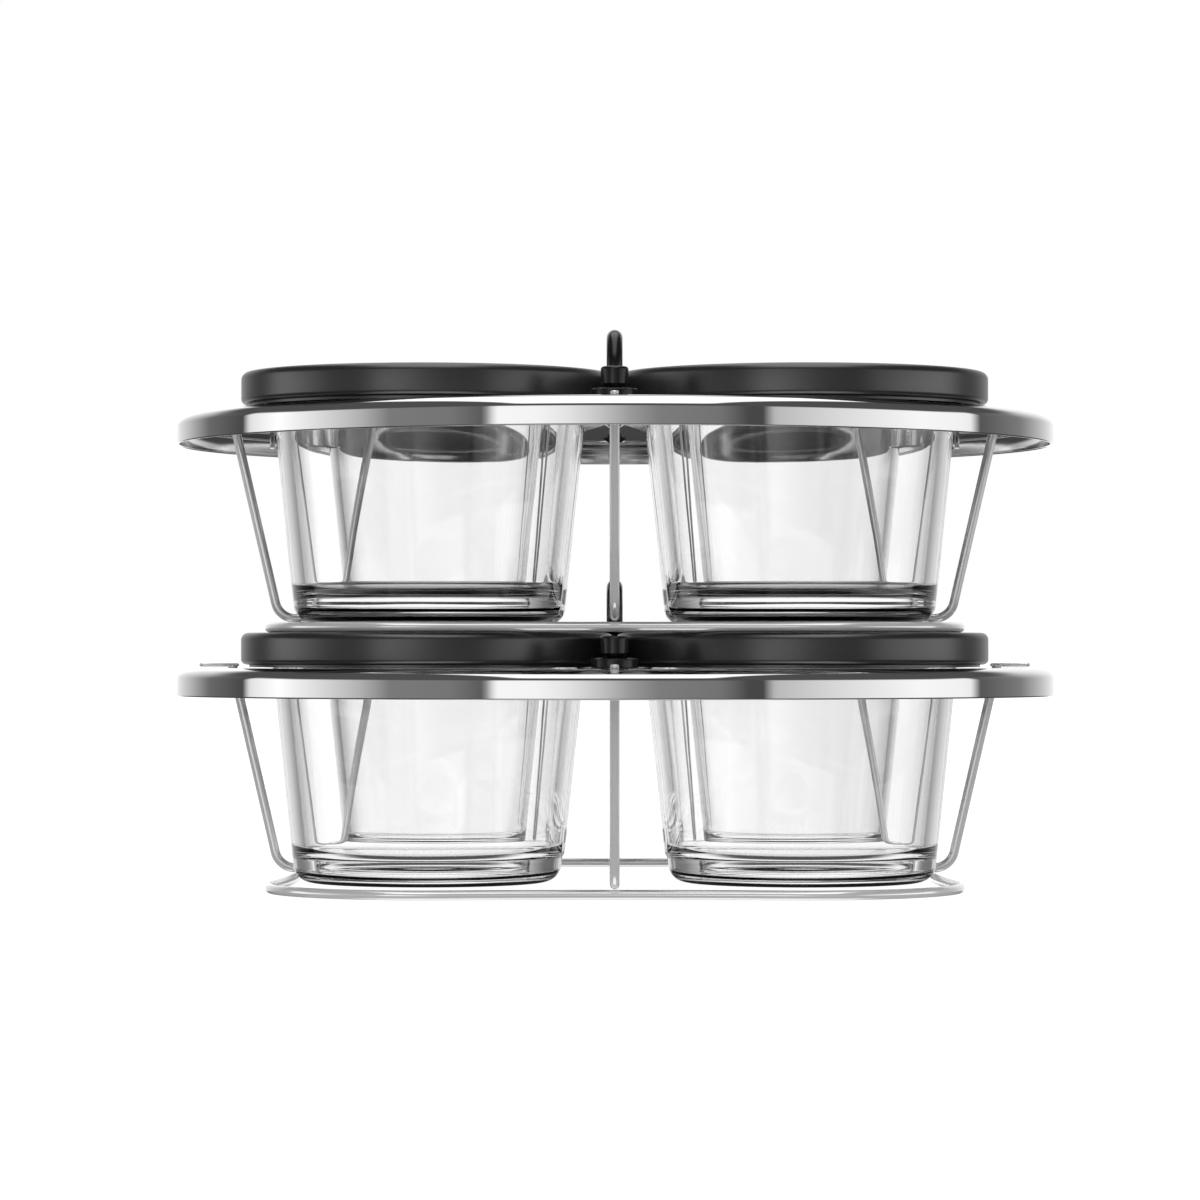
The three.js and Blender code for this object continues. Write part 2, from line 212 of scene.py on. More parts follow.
def fillet_path(corners, radius, spacing, steps=8):
    """A polyline through corners with each inner corner rounded, sampled about every spacing."""
    points = [corners[0]]
    for before, corner, after in zip(corners, corners[1:], corners[2:]):
        to_before = (before - corner).normalized()
        to_after = (after - corner).normalized()
        half = to_before.angle(to_after) / 2
        setback = radius / math.tan(half)
        start = corner + to_before * setback
        centre = corner + (to_before + to_after).normalized() * (radius / math.sin(half))
        sweep_from = start - centre
        sweep_to = corner + to_after * setback - centre
        for i in range(steps + 1):
            between = sweep_from.lerp(sweep_to, i / steps)
            points.append(centre + between.normalized() * radius)
    points.append(corners[-1])
    dense = [points[0]]
    for a, b in zip(points, points[1:]):
        pieces = max(1, round((b - a).length / spacing))
        for i in range(1, pieces + 1):
            dense.append(a.lerp(b, i / pieces))
    return dense


def boolean(target, cutter, operation):
    """Cuts or joins two mesh objects and keeps the result in the first."""
    modifier = target.modifiers.new("cut", "BOOLEAN")
    modifier.operation = operation
    modifier.solver = "EXACT"
    modifier.object = cutter
    apply_modifiers(target)
    bpy.data.objects.remove(cutter)


def apply_modifiers(piece):
    graph = bpy.context.evaluated_depsgraph_get()
    graph.update()
    made = bpy.data.meshes.new_from_object(piece.evaluated_get(graph))
    piece.modifiers.clear()
    piece.data = made


# ---------------------------------------------------------------- materials

def new_material(name, **values):
    """A node material with one Principled shader whose constant values sit on its own sockets."""
    material = bpy.data.materials.new(name)
    material.use_nodes = True
    shader = material.node_tree.nodes["Principled BSDF"]
    for key, value in values.items():
        shader.inputs[key.replace("_", " ")].default_value = value
    return material, material.node_tree, shader


def add_node(tree, kind, **settings):
    node = tree.nodes.new(kind)
    for key, value in settings.items():
        if key in node.inputs:
            node.inputs[key].default_value = value
        else:
            setattr(node, key, value)
    return node


def noise(tree, vector, scale, detail=3.0, roughness=0.5):
    node = add_node(tree, "ShaderNodeTexNoise")
    node.inputs["Scale"].default_value = scale
    node.inputs["Detail"].default_value = detail
    node.inputs["Roughness"].default_value = roughness
    tree.links.new(vector, node.inputs["Vector"])
    return node.outputs["Fac"]


def spread(tree, value, low, high):
    """Maps a 0 to 1 value to a range."""
    node = add_node(tree, "ShaderNodeMapRange")
    node.inputs["To Min"].default_value = low
    node.inputs["To Max"].default_value = high
    tree.links.new(value, node.inputs["Value"])
    return node.outputs["Result"]


def smooth_step(tree, value, start, end, low, high):
    node = add_node(tree, "ShaderNodeMapRange", interpolation_type="SMOOTHSTEP")
    node.inputs["From Min"].default_value = start
    node.inputs["From Max"].default_value = end
    node.inputs["To Min"].default_value = low
    node.inputs["To Max"].default_value = high
    tree.links.new(value, node.inputs["Value"])
    return node.outputs["Result"]


def product(tree, first, second):
    node = add_node(tree, "ShaderNodeMath", operation="MULTIPLY")
    tree.links.new(first, node.inputs[0])
    tree.links.new(second, node.inputs[1])
    return node.outputs[0]


def blend(tree, factor, first, second, level=0.0):
    """From the first value to the second, or to a fixed level where there is no second."""
    node = add_node(tree, "ShaderNodeMix", data_type="FLOAT")
    node.inputs["B"].default_value = level
    tree.links.new(factor, node.inputs["Factor"])
    tree.links.new(first, node.inputs["A"])
    if second is not None:
        tree.links.new(second, node.inputs["B"])
    return node.outputs["Result"]


def bump(tree, shader, heights):
    """Chains bumps of (height output, strength, distance) onto the shader's normal."""
    normal = None
    for height, strength, distance in heights:
        node = add_node(tree, "ShaderNodeBump")
        node.inputs["Strength"].default_value = strength
        node.inputs["Distance"].default_value = distance
        tree.links.new(height, node.inputs["Height"])
        if normal is not None:
            tree.links.new(normal, node.inputs["Normal"])
        normal = node.outputs["Normal"]
    tree.links.new(normal, shader.inputs["Normal"])


def object_coordinates(tree):
    return add_node(tree, "ShaderNodeTexCoord").outputs["Object"]


def stretched(tree, vector, scale):
    node = add_node(tree, "ShaderNodeMapping")
    node.inputs["Scale"].default_value = scale
    tree.links.new(vector, node.inputs["Vector"])
    return node.outputs["Vector"]


def ring_coordinates(tree, vector):
    """Distance from the Z axis and height, so a noise on it makes rings round the plate."""
    apart = add_node(tree, "ShaderNodeSeparateXYZ")
    tree.links.new(vector, apart.inputs[0])
    flat = add_node(tree, "ShaderNodeCombineXYZ")
    tree.links.new(apart.outputs["X"], flat.inputs["X"])
    tree.links.new(apart.outputs["Y"], flat.inputs["Y"])
    length = add_node(tree, "ShaderNodeVectorMath", operation="LENGTH")
    tree.links.new(flat.outputs[0], length.inputs[0])
    rings = add_node(tree, "ShaderNodeCombineXYZ")
    tree.links.new(length.outputs["Value"], rings.inputs["X"])
    tree.links.new(apart.outputs["Z"], rings.inputs["Y"])
    return rings.outputs[0]


def inward_facing(tree, place):
    """1 where the sheet faces the axis or the ground, which is left unpolished and gets painted shade,
    and 0 elsewhere.
    """
    flat = add_node(tree, "ShaderNodeVectorMath", operation="MULTIPLY")
    flat.inputs[1].default_value = (1, 1, 0)
    tree.links.new(place, flat.inputs[0])
    outward = add_node(tree, "ShaderNodeVectorMath", operation="NORMALIZE")
    tree.links.new(flat.outputs[0], outward.inputs[0])
    lifted = add_node(tree, "ShaderNodeVectorMath", operation="ADD")
    lifted.inputs[1].default_value = (0, 0, 1)
    tree.links.new(outward.outputs[0], lifted.inputs[0])
    facing = add_node(tree, "ShaderNodeVectorMath", operation="DOT_PRODUCT")
    tree.links.new(add_node(tree, "ShaderNodeTexCoord").outputs["Normal"], facing.inputs[0])
    tree.links.new(lifted.outputs[0], facing.inputs[1])
    return smooth_step(tree, facing.outputs["Value"], 0.1, -0.1, 0.0, 1.0)


def polished_steel():
    """Mirror-bright outside; rougher inside and underneath, where painted shade darkens its colour, with
    fine rings from the polishing wheel.
    """
    material, tree, shader = new_material("polished_steel", Metallic=1.0)
    place = object_coordinates(tree)
    inward = inward_facing(tree, place)
    rings = ring_coordinates(tree, place)
    lines = noise(tree, rings, 2600, 2.0)
    smears = noise(tree, place, 24, 4.0)
    roughness = blend(tree, inward, spread(tree, smears, 0.02, 0.06), spread(tree, smears, 0.07, 0.12))
    tree.links.new(roughness, shader.inputs["Roughness"])
    # Painted shade: the base colour is a little darker where the sheet faces the axis or the ground.
    painted_shade_colour = add_node(tree, "ShaderNodeMix", data_type="RGBA")
    painted_shade_colour.inputs["A"].default_value = (0.88, 0.88, 0.88, 1)
    painted_shade_colour.inputs["B"].default_value = (0.85, 0.85, 0.85, 1)
    tree.links.new(inward, painted_shade_colour.inputs["Factor"])
    tree.links.new(painted_shade_colour.outputs["Result"], shader.inputs["Base Color"])
    bump(tree, shader, [(lines, 0.015, 0.0003), (noise(tree, place, 14, 2.0), 0.015, 0.001)])
    return material


def satin_wire():
    """Pale wire with fine drawing lines along it."""
    material, tree, shader = new_material("satin_wire", Base_Color=(0.95, 0.95, 0.95, 1), Metallic=0.62)
    place = object_coordinates(tree)
    drawn = noise(tree, stretched(tree, place, (1.0, 1.0, 0.06)), 1500, 3.0)
    tree.links.new(spread(tree, noise(tree, place, 60, 4.0), 0.12, 0.2), shader.inputs["Roughness"])
    bump(tree, shader, [(drawn, 0.1, 0.0002)])
    return material


def bowl_glass():
    """Clear glass with the slow waviness that pressing leaves."""
    clear = (0.996, 0.997, 0.9965, 1)
    material, tree, shader = new_material(
        "bowl_glass", Base_Color=clear, IOR=1.5, Transmission_Weight=1.0)
    place = object_coordinates(tree)
    bump(tree, shader, [(noise(tree, stretched(tree, place, (1, 1, 0.35)), 42, 2.0), 0.03, 0.0012)])
    tree.links.new(spread(tree, noise(tree, place, 30, 3.0), 0.0, 0.015), shader.inputs["Roughness"])
    return material


def black_plastic(name, colour, gloss, smooth, rough, grain, depth):
    """Moulded plastic with a fine grain. Its roughness wanders between smooth and rough."""
    material, tree, shader = new_material(name, IOR=gloss)
    place = object_coordinates(tree)
    tree.links.new(spread(tree, noise(tree, place, 40, 5.0), smooth, rough), shader.inputs["Roughness"])
    mix = add_node(tree, "ShaderNodeMix", data_type="RGBA")
    mix.inputs["A"].default_value = (*colour, 1)
    mix.inputs["B"].default_value = (*(1.5 * c for c in colour), 1)
    tree.links.new(noise(tree, place, 300, 3.0), mix.inputs["Factor"])
    tree.links.new(mix.outputs["Result"], shader.inputs["Base Color"])
    bump(tree, shader, [(noise(tree, place, grain, 2.0), depth, 0.0002)])
    return material


def seal_silicone():
    material, tree, shader = new_material(
        "seal_silicone", Base_Color=(0.42, 0.43, 0.43, 1), Subsurface_Weight=0.2)
    place = object_coordinates(tree)
    tree.links.new(spread(tree, noise(tree, place, 120, 3.0), 0.35, 0.55), shader.inputs["Roughness"])
    bump(tree, shader, [(noise(tree, place, 900, 2.0), 0.1, 0.0002)])
    return material


BLACK = (0.003, 0.003, 0.0032)
MATERIALS = {
    "polished_steel": polished_steel(),
    "satin_wire": satin_wire(),
    "bowl_glass": bowl_glass(),
    "lid_plastic": black_plastic("lid_plastic", BLACK, 2.2, 0.28, 0.36, 2400, 0.1),
    "handle_plastic": black_plastic("handle_plastic", BLACK, 1.6, 0.2, 0.3, 1800, 0.06),
    "seal_silicone": seal_silicone(),
}
BODIES = frame["record"]["behaviour"]["bodies"]
BODY_OF = {node: body for body, nodes in BODIES.items() for node in nodes}


def place_piece(node, mesh, finish, tier, offset=(0, 0)):
    """Puts a mesh made for the lower tier in the place of a CAD node of either tier."""
    lift = TIER_PITCH if tier == "upper" else 0.0
    own = mesh.copy()
    own.name = node
    own.transform(Matrix.Translation((offset[0], offset[1], lift)))
    shade_smooth(own, 35)
    piece = linked_object(f"{node}_fine", own)
    piece.data.materials.clear()
    piece.data.materials.append(MATERIALS[finish])
    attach(piece, BODY_OF[node])
    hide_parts(node)
    return piece


# ---------------------------------------------------------------- shapes

def plate_mesh():
    """The carrier: a turned disc with a rolled rim, holes for bowls, spoons, bolts and wires."""
    bottom = PLATE_TOP - RIM_HEIGHT
    shoulder_x = PLATE_RADIUS - SHOULDER_WIDTH
    shoulder_z = PLATE_TOP - SHOULDER_HEIGHT
    under = PLATE_TOP - SHEET
    lip = 0.49 * MM
    inside = PLATE_RADIUS - SHEET
    profile = [
        (STUD_HOLE, under),
        (inside - 4.4 * MM, under),
        *arc(inside - 3.8 * MM, bottom + 8.1 * MM, 0.3 * MM, 0.3 * MM, 135, 315, 6),
        *arc(inside - 0.3 * MM, bottom + 5.7 * MM, 0.3 * MM, 0.3 * MM, 100, 260, 6),
        (inside, bottom + 5.2 * MM),
        (inside - 0.3 * MM, bottom + lip),
        *arc(PLATE_RADIUS - 1.3 * MM + lip, bottom + lip, lip, lip, 180, 270, 3),
        *arc(PLATE_RADIUS - lip, bottom + lip, lip, lip, 270, 360, 4),
        *arc(shoulder_x, shoulder_z, SHOULDER_WIDTH, SHOULDER_HEIGHT, 0, 90, 16),
        (STUD_HOLE, PLATE_TOP),
    ]
    plate = linked_object("plate_blank", lathe_mesh("plate_blank", without_repeats(profile), 256))
    low, high = bottom - 5 * MM, PLATE_TOP + 5 * MM

    def drill(x, y, radius, segments):
        rod = [(0, low), (radius, low), (radius, high), (0, high)]
        cutter = linked_object("drill", lathe_mesh("drill", rod, segments, (x, y, 0)))
        boolean(plate, cutter, "DIFFERENCE")

    for along_x, along_y in CORNERS.values():
        drill(along_x * BOWL_CENTRE, along_y * BOWL_CENTRE, BOWL_HOLE_RADIUS, 96)
    neck = spoon_neck_profile()
    for side in (-1, 1):
        x = side * SPOON_HOLE_DISTANCE
        drill(x, 0, SPOON_HOLE_RADIUS + 1.9 * MM, 48)
        boolean(plate, linked_object("neck", lathe_mesh("neck", neck, 48, (x, 0, 0))), "UNION")
        drill(0, side * KNOB_DISTANCE, STUD_HOLE, 24)
    wire_distance = LEG_MIDDLE + LEG_TOP_SPREAD
    for degrees in SIDES.values():
        angle = math.radians(degrees)
        drill(wire_distance * math.cos(angle), wire_distance * math.sin(angle), 2.0 * MM, 24)
    weighted = plate.modifiers.new("even", "WEIGHTED_NORMAL")
    weighted.keep_sharp = True
    shade_smooth(plate.data, 32)
    apply_modifiers(plate)
    mesh = plate.data
    bpy.data.objects.remove(plate)
    return mesh


def spoon_neck_profile():
    """A drawn collar: the plate's sheet turns down through a rounded mouth into a short neck."""
    bottom = PLATE_TOP - RIM_HEIGHT - 0.7 * MM
    bore = SPOON_HOLE_RADIUS
    outer = bore + SHEET
    bend = 1.2 * MM
    join = bore + 2.0 * MM
    return [
        (bore + 0.2 * MM, bottom),
        (outer, bottom + 0.1 * MM),
        (outer, PLATE_TOP - SHEET - 0.5 * MM),
        *arc(outer + 0.5 * MM, PLATE_TOP - SHEET - 0.5 * MM, 0.5 * MM, 0.5 * MM, 180, 90, 3)[1:],
        (join, PLATE_TOP - SHEET),
        (join, PLATE_TOP),
        *arc(bore + bend, PLATE_TOP - bend, bend, bend, 90, 180, 5),
        (bore, bottom + 0.2 * MM),
    ]


def ring_mesh():
    """Four lobes round the bowls, joined by shallow waists over the axes."""
    wire = (RING_HIGH.z - RING_LOW.z + 0.2 * MM) / 2
    centre_z = RING_HIGH.z - wire
    lobe = 52.3 * MM
    waist = 110.3 * MM
    lead = waist - BOWL_CENTRE
    waist_radius = (lead ** 2 + BOWL_CENTRE ** 2 - lobe ** 2) / (2 * (lobe - lead))
    waist_centre = waist + waist_radius
    tilt = math.degrees(math.atan2(BOWL_CENTRE, waist_centre - BOWL_CENTRE))
    quarter = [
        *arc(waist_centre, 0, waist_radius, waist_radius, 180, 180 - tilt, 16)[:-1],
        *arc(BOWL_CENTRE, BOWL_CENTRE, lobe, lobe, -tilt, 90 + tilt, 44),
        *arc(0, waist_centre, waist_radius, waist_radius, tilt - 90, -90, 16)[1:-1],
    ]
    path = []
    for i in range(4):
        turn = Matrix.Rotation(i * math.pi / 2, 3, "Z")
        path.extend(turn @ Vector((x, y, centre_z)) for x, y in quarter)
    return tube_mesh("ring", path, wire, 20, closed=True)


def leg_mesh():
    """One wire in the XZ plane: flattened tab on the plate, outer arm, foot over the ring, inner arm."""
    wire = 1.6 * MM
    foot = LEG_LOW.z + wire
    bend = 7 * MM
    slope = (LEG_TOP_SPREAD - LEG_BOTTOM_SPREAD) / (PLATE_TOP - foot - LEG_KNEE)
    bottom_spread = LEG_BOTTOM_SPREAD - slope * LEG_KNEE
    tab_thickness = LEG_HIGH.z - PLATE_TOP - 0.3 * MM
    tab_z = LEG_HIGH.z - tab_thickness / 2
    outer_top = Vector((LEG_MIDDLE + LEG_TOP_SPREAD, 0, PLATE_TOP + 0.2 * MM))
    inner_top_z = PLATE_TOP - SHEET - 0.2 * MM
    inner_top = Vector((LEG_MIDDLE - LEG_TOP_SPREAD + slope * (PLATE_TOP - inner_top_z), 0, inner_top_z))
    corners = [
        outer_top,
        Vector((LEG_MIDDLE + bottom_spread, 0, foot)),
        Vector((LEG_MIDDLE - bottom_spread, 0, foot)),
        inner_top,
    ]
    path = fillet_path(corners, bend, 1.6 * MM)
    leg = linked_object("leg", tube_mesh("leg", path, wire, 20))
    boolean(leg, linked_object("tab", tab_mesh(tab_z, tab_thickness)), "UNION")
    mesh = leg.data
    bpy.data.objects.remove(leg)
    return mesh


def tab_mesh(middle_z, thickness):
    """The leg's end pressed flat, with a rounded tip and softened edges."""
    start, end = 129.2 * MM, LEG_HIGH.x
    half = 1.4 * MM
    mesh = bpy.data.meshes.new("tab")
    build = bmesh.new()
    outline = [(start + 0.6 * MM, -half * 0.7), (start + 2 * MM, -half)]
    outline += arc(end - half, 0, half, half, -90, 90, 12)
    outline += [(start + 2 * MM, half), (start + 0.6 * MM, half * 0.7)]
    face = build.faces.new([build.verts.new((x, y, middle_z - thickness / 2)) for x, y in outline])
    raised = bmesh.ops.extrude_face_region(build, geom=[face])
    moved = [v for v in raised["geom"] if isinstance(v, bmesh.types.BMVert)]
    bmesh.ops.translate(build, verts=moved, vec=(0, 0, thickness))
    bmesh.ops.recalc_face_normals(build, faces=build.faces)
    rims = [e for e in build.edges if abs(e.verts[0].co.z - e.verts[1].co.z) < 1e-7]
    bmesh.ops.bevel(build, geom=rims, offset=0.55 * MM, segments=4, profile=0.5, affect="EDGES")
    build.to_mesh(mesh)
    build.free()
    return mesh


def bowl_mesh():
    """Pressed glass: tapered wall, thick base with a shallow punt, rounded flange under the lid."""
    bottom = BOWL_LOW.z
    top = BOWL_HIGH.z
    flange = BOWL_HIGH.x - BOWL_CENTRE
    on_plate = PLATE_TOP + 0.3 * MM
    foot_radius, neck_radius, wall = 43.8 * MM, 51.2 * MM, 4.5 * MM
    floor = 11.8 * MM

    def outer(height):
        return foot_radius + (neck_radius - foot_radius) * (height - bottom) / (PLATE_TOP - bottom)

    outer_corner, inner_corner = 6 * MM, 5 * MM
    outer_z, inner_z = bottom + outer_corner, floor + inner_corner
    foot_edge = outer(outer_z) - outer_corner
    floor_edge = outer(inner_z) - wall - inner_corner
    edge = 0.9 * MM
    mouth = outer(top) - wall
    wall_rings = [(outer(z), z) for z in (bottom + (20 + 10 * i) * MM for i in range(5))]
    inner_rings = [(outer(z) - wall, z) for z in (floor + (50 - 10 * i) * MM for i in range(4))]
    profile = [
        (0, bottom + 0.9 * MM),
        (foot_edge * 0.5, bottom + 0.75 * MM),
        (foot_edge - 3.2 * MM, bottom + 0.3 * MM),
        (foot_edge - 1.6 * MM, bottom),
        *arc(foot_edge, outer_z, outer_corner, outer_corner, -90, 0, 12),
        *wall_rings,
        (neck_radius, PLATE_TOP - 1 * MM),
        (neck_radius, on_plate),
        (flange - edge, on_plate),
        *arc(flange - edge, on_plate + edge, edge, edge, -90, 0, 4),
        *arc(flange - edge, top - edge, edge, edge, 0, 90, 4),
        *arc(mouth + edge, top - edge, edge, edge, 90, 180, 4),
        *inner_rings,
        *arc(floor_edge, inner_z, inner_corner, inner_corner, 0, -90, 10),
        (floor_edge * 0.5, floor - 0.15 * MM),
        (0, floor - 0.25 * MM),
    ]
    return lathe_mesh("bowl", without_repeats(profile), 160)


def lid_mesh():
    """Moulded cap: rounded edges, an inner lip near the plate, a faint dish, a plug for the seal."""
    radius = LID_HIGH.x - BOWL_CENTRE
    top, bottom = LID_HIGH.z, PLATE_TOP + 1.2 * MM
    plug_bottom = LID_LOW.z
    lip = PLATE_TOP + 0.4 * MM
    ceiling = BOWL_HIGH.z + 0.3 * MM
    top_edge, bottom_edge = 2.4 * MM, 1.8 * MM
    cavity, plug, bore = 57.8 * MM, 42.4 * MM, 38.6 * MM
    edge = 0.6 * MM
    profile = [
        (0, top - 3 * MM),
        (bore - edge, top - 3 * MM),
        *arc(bore - edge, top - 3 * MM - edge, edge, edge, 90, 0, 3)[1:],
        (bore, plug_bottom + edge),
        *arc(bore + edge, plug_bottom + edge, edge, edge, 180, 270, 3),
        *arc(plug - edge, plug_bottom + edge, edge, edge, -90, 0, 3),
        (plug, ceiling - edge),
        *arc(plug + edge, ceiling - edge, edge, edge, 180, 90, 3),
        *arc(cavity - edge, ceiling - edge, edge, edge, 90, 0, 3),
        (cavity, lip),
        (cavity + 1.2 * MM, lip),
        (cavity + 1.2 * MM, bottom),
        *arc(radius - bottom_edge, bottom + bottom_edge, bottom_edge, bottom_edge, -90, 0, 8),
        (radius, (bottom + top) / 2),
        *arc(radius - top_edge, top - top_edge, top_edge, top_edge, 0, 90, 10),
        (radius - 4.4 * MM, top),
        (radius - 5.2 * MM, top - 0.12 * MM),
        (radius * 0.5, top - 0.2 * MM),
        (0, top - 0.2 * MM),
    ]
    return lathe_mesh("lid", without_repeats(profile), 160)


def seal_mesh():
    """A silicone ring with two soft lips."""
    inner = 43.0 * MM
    outer = SEAL_HIGH.x - BOWL_CENTRE
    bottom, top = SEAL_LOW.z, SEAL_HIGH.z
    lip = (top - bottom) / 4
    profile = [
        (inner, bottom + 0.2 * MM),
        (inner + 0.2 * MM, bottom),
        (outer - 1.2 * MM, bottom),
        *arc(outer - lip, bottom + lip, lip, lip, -80, 80, 6),
        *arc(outer - lip, top - lip, lip, lip, -80, 80, 6),
        (outer - 1.2 * MM, top),
        (inner + 0.2 * MM, top),
        (inner, top - 0.2 * MM),
    ]
    return lathe_mesh("seal", profile, 128)


def loop_mesh():
    """The carrying loop: a round rod bent to an oval, thickened where it meets its stud."""
    rod = LOOP_HIGH.x
    highest = LOOP_HIGH.z - rod
    lowest = COLLAR_HIGH.z + 0.3 * MM + rod
    bend = (highest - lowest) / 2
    middle = (highest + lowest) / 2
    straight = LOOP_HIGH.y - rod - bend
    outline = arc(straight, middle, bend, bend, -90, 90, 28)
    outline += arc(-straight, middle, bend, bend, 90, 270, 28)
    path = [Vector((0, y, z)) for y, z in outline]
    loop = linked_object("loop", tube_mesh("loop", path, rod, 28, closed=True))
    stud_radius = 2 * MM
    foot = COLLAR_HIGH.z + 0.3 * MM
    stud = linked_object("stud", lathe_mesh("stud", [
        (0, LOOP_LOW.z),
        (stud_radius - 0.4 * MM, LOOP_LOW.z),
        (stud_radius, LOOP_LOW.z + 0.4 * MM),
        (stud_radius, foot),
        (3.4 * MM, foot),
        (3.2 * MM, foot + 1.2 * MM),
        (2.4 * MM, lowest),
        (0, lowest),
    ], 32))
    boolean(loop, stud, "UNION")
    mesh = loop.data
    bpy.data.objects.remove(loop)
    return mesh


def collar_mesh():
    """The turned foot under the loop, which the loop's stud goes through."""
    radius = COLLAR_HIGH.x
    bottom, top = COLLAR_LOW.z, COLLAR_HIGH.z
    return lathe_mesh("collar", [
        (STUD_HOLE, bottom),
        *arc(radius - 0.3 * MM, bottom + 0.3 * MM, 0.3 * MM, 0.3 * MM, -90, 0, 3),
        *arc(radius - 0.9 * MM, top - 0.9 * MM, 0.9 * MM, 0.9 * MM, 0, 90, 6),
        (STUD_HOLE + 0.2 * MM, top),
        (STUD_HOLE, top - 0.2 * MM),
    ], 64)


def nut_mesh():
    """A domed cap nut, closed at the bottom."""
    top, tip = NUT_HIGH.z, NUT_LOW.z
    wide = NUT_HIGH.x
    bore_end = LOOP_LOW.z - 0.3 * MM
    return lathe_mesh("nut", [
        (0, tip),
        *arc(1.9 * MM, tip + 0.3 * MM, 0.3 * MM, 0.3 * MM, -90, -40, 3),
        *arc(wide - 1.1 * MM, tip + 2.1 * MM, 1.1 * MM, 1.1 * MM, -45, 0, 5),
        (wide, top - 0.25 * MM),
        (wide - 0.25 * MM, top),
        (STUD_HOLE, top),
        (STUD_HOLE, bore_end),
        (0, bore_end),
    ], 48)


def knob_base_mesh():
    """The flange under a knob, with a bevelled top, the knob's post above and its stud below."""
    stud_end = BASE_LOW.z
    bottom = COLLAR_LOW.z
    wide = (BASE_HIGH.x - BASE_LOW.x) / 2
    top = bottom + 3.2 * MM
    post, post_top = 2 * MM, BASE_HIGH.z
    return lathe_mesh("base", [
        (0, stud_end),
        (post - 0.3 * MM, stud_end),
        (post, stud_end + 0.3 * MM),
        (post, bottom),
        (wide - 0.2 * MM, bottom),
        (wide, bottom + 0.2 * MM),
        *arc(wide - 0.4 * MM, top - 0.6 * MM, 0.4 * MM, 0.4 * MM, 0, 80, 5),
        (wide - 2.2 * MM, top),
        (post + 0.3 * MM, top),
        (post, top + 0.3 * MM),
        (post, post_top - 0.3 * MM),
        (post - 0.3 * MM, post_top),
        (0, post_top),
    ], 72)


def knob_mesh():
    """A round cap over the base's post, with a rounded top edge and a narrower foot."""
    wide = (KNOB_HIGH.x - KNOB_LOW.x) / 2
    bottom, top = KNOB_LOW.z, KNOB_HIGH.z
    bore_top = BASE_HIGH.z + 0.3 * MM
    edge = 0.9 * MM
    return lathe_mesh("knob", [
        (0, bore_top),
        (STUD_HOLE, bore_top),
        (STUD_HOLE, bottom),
        (wide - 0.9 * MM, bottom),
        (wide - 0.3 * MM, bottom + 0.8 * MM),
        (wide, bottom + 1.2 * MM),
        *arc(wide - edge, top - edge, edge, edge, 0, 90, 8),
        (1.2 * MM, top - 0.15 * MM),
        (0, top - 0.15 * MM),
    ], 72)


# ---------------------------------------------------------------- assembly

def build_object():
    plate, ring, leg = plate_mesh(), ring_mesh(), leg_mesh()
    bowl, lid, seal = bowl_mesh(), lid_mesh(), seal_mesh()
    loop, collar, nut = loop_mesh(), collar_mesh(), nut_mesh()
    fitting = {"knob_base": knob_base_mesh(), "knob_nut": nut, "knob": knob_mesh()}
    for tier in TIERS:
        place_piece(f"{tier}_plate", plate, "polished_steel", tier)
        place_piece(f"{tier}_base_ring", ring, "satin_wire", tier)
        for side, degrees in SIDES.items():
            turned = leg.copy()
            turned.transform(Matrix.Rotation(math.radians(degrees), 4, "Z"))
            place_piece(f"{tier}_leg_{side}", turned, "satin_wire", tier)
        place_piece(f"{tier}_handle_loop", loop, "handle_plastic", tier)
        place_piece(f"{tier}_handle_collar", collar, "handle_plastic", tier)
        place_piece(f"{tier}_handle_nut", nut, "polished_steel", tier)
        for name, mesh in fitting.items():
            place_piece(f"{tier}_front_{name}", mesh, "handle_plastic", tier, (0, -KNOB_DISTANCE))
            place_piece(f"{tier}_rear_{name}", mesh, "handle_plastic", tier, (0, KNOB_DISTANCE))
        for corner, (along_x, along_y) in CORNERS.items():
            offset = (along_x * BOWL_CENTRE, along_y * BOWL_CENTRE)
            place_piece(f"{tier}_bowl_{corner}", bowl, "bowl_glass", tier, offset)
            place_piece(f"{tier}_lid_{corner}", lid, "lid_plastic", tier, offset)
            place_piece(f"{tier}_seal_{corner}", seal, "seal_silicone", tier, offset)


# ---------------------------------------------------------------- stage, light and camera

# The panels stand round the horizon and rise behind the object. Heights are sines of the angle above it.
PANEL_FOOT = (-0.2, -0.1)
PANEL_TOP = (0.08, 0.3)
REAR_PANEL_RISE = 0.35
# Below them the studio is dark down to a pale table. Above them it is dark as well, up to a white
# ceiling over the middle.
DARK_FLOOR = 0.06
TABLE = 0.9
TABLE_EDGE = (-0.95, -0.85)
DARK_ROOM = 0.08
CEILING = 1.3
CEILING_EDGE = (0.6, 0.7)
CEILING_SIDES = (0.32, 0.42)
# Rays that come through the glass see the panels up to these slants, white past them, a dark floor.
GLASS_PANELS = (0.25, 0.5)
GLASS_FLOOR = 0.08
GLASS_FLOOR_EDGE = (-0.85, -0.6)

# Brightness of the studio by direction in degrees, counted from the front towards +X.
STUDIO_PANELS = [
    (-180, 1.15), (-168, 1.15), (-160, 0.85), (-146, 0.55), (-130, 0.16), (-111, 0.07), (-108, 0.85),
    (-96, 1.15), (-88, 0.95), (-68, 0.5), (-59, 0.22), (-42, 0.2), (-33, 0.11), (-30, 1.05), (-20, 1.03),
    (-12, 0.88), (-4, 0.63), (4, 0.36), (11, 0.23), (27, 0.19), (34, 0.07), (38, 0.07), (41, 0.55),
    (60, 0.8), (84, 1.05), (100, 1.0), (104, 0.95), (108, 0.1), (130, 0.22), (146, 0.55), (160, 0.85),
    (180, 1.15),
]


